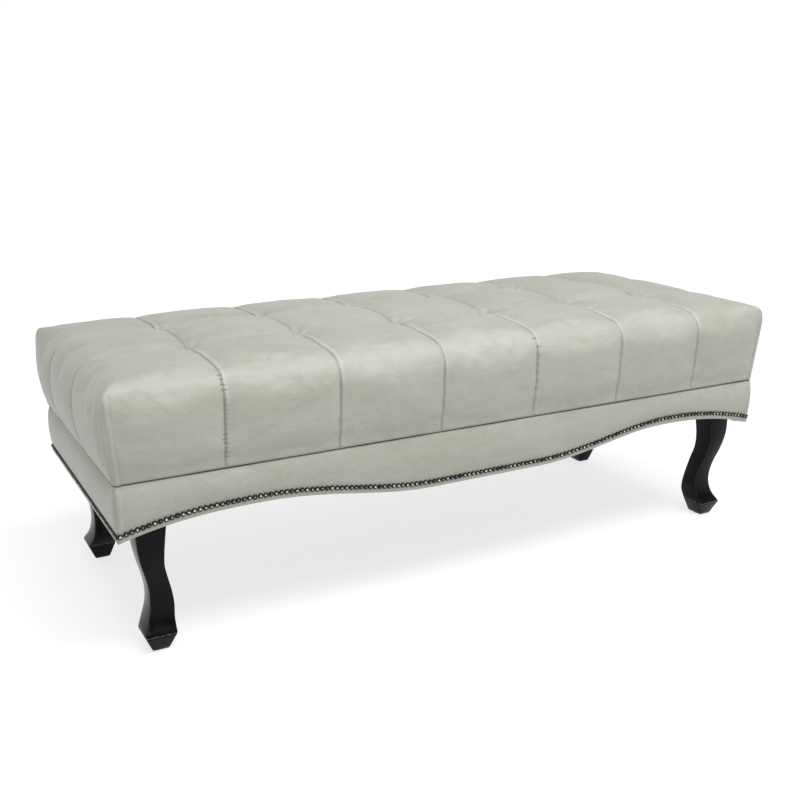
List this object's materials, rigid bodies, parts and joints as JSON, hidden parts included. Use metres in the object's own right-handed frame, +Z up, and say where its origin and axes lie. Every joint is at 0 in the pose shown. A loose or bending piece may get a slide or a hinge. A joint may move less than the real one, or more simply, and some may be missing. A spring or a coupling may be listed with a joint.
{
  "type": "upholstered bench",
  "caption": "Long backless bench with a thick square-tufted leather seat over a shallow leather apron with an arched, nail-trimmed lower edge, on short black S-curved legs.",
  "frame": {"origin": "on the floor under the centre of the bench", "axes": "+X along the length to the right, -Y towards the front, +Z up"},
  "size_m": [1.428, 0.578, 0.5097],
  "materials": {
    "seat_leather": "satin",
    "apron_leather": "satin",
    "foam": "matte",
    "plywood": "matte",
    "twine": "matte",
    "wadding": "matte",
    "pine": "matte",
    "nail_metal": "gloss",
    "black_lacquer": "gloss",
    "zinc_steel": "satin",
    "nylon": "matte",
    "black_cloth": "matte"
  },
  "bodies": {
    "root": {"seat_cover": "seat_leather", "seat_foam": "foam", "seat_deck": "plywood", "tuft_tie_front_1": "twine", "tuft_tie_front_2": "twine", "tuft_tie_front_3": "twine", "tuft_tie_front_4": "twine", "tuft_tie_front_5": "twine", "tuft_tie_front_6": "twine", "tuft_tie_back_1": "twine", "tuft_tie_back_2": "twine", "tuft_tie_back_3": "twine", "tuft_tie_back_4": "twine", "tuft_tie_back_5": "twine", "tuft_tie_back_6": "twine", "apron_cover_front": "apron_leather", "apron_wadding_front": "wadding", "rail_front": "pine", "nail_row_front": "nail_metal", "apron_cover_right": "apron_leather", "apron_wadding_right": "wadding", "rail_right": "pine", "nail_row_right": "nail_metal", "apron_cover_back": "apron_leather", "apron_wadding_back": "wadding", "rail_back": "pine", "nail_row_back": "nail_metal", "apron_cover_left": "apron_leather", "apron_wadding_left": "wadding", "rail_left": "pine", "nail_row_left": "nail_metal", "cross_rail_1": "pine", "cross_rail_2": "pine", "cross_rail_3": "pine", "leg_front_left": "black_lacquer", "corner_block_front_left": "pine", "hanger_bolt_front_left": "zinc_steel", "tee_nut_front_left": "zinc_steel", "glide_front_left": "nylon", "leg_front_right": "black_lacquer", "corner_block_front_right": "pine", "hanger_bolt_front_right": "zinc_steel", "tee_nut_front_right": "zinc_steel", "glide_front_right": "nylon", "leg_back_left": "black_lacquer", "corner_block_back_left": "pine", "hanger_bolt_back_left": "zinc_steel", "tee_nut_back_left": "zinc_steel", "glide_back_left": "nylon", "leg_back_right": "black_lacquer", "corner_block_back_right": "pine", "hanger_bolt_back_right": "zinc_steel", "tee_nut_back_right": "zinc_steel", "glide_back_right": "nylon", "dust_cover": "black_cloth"}
  },
  "joints": []
}
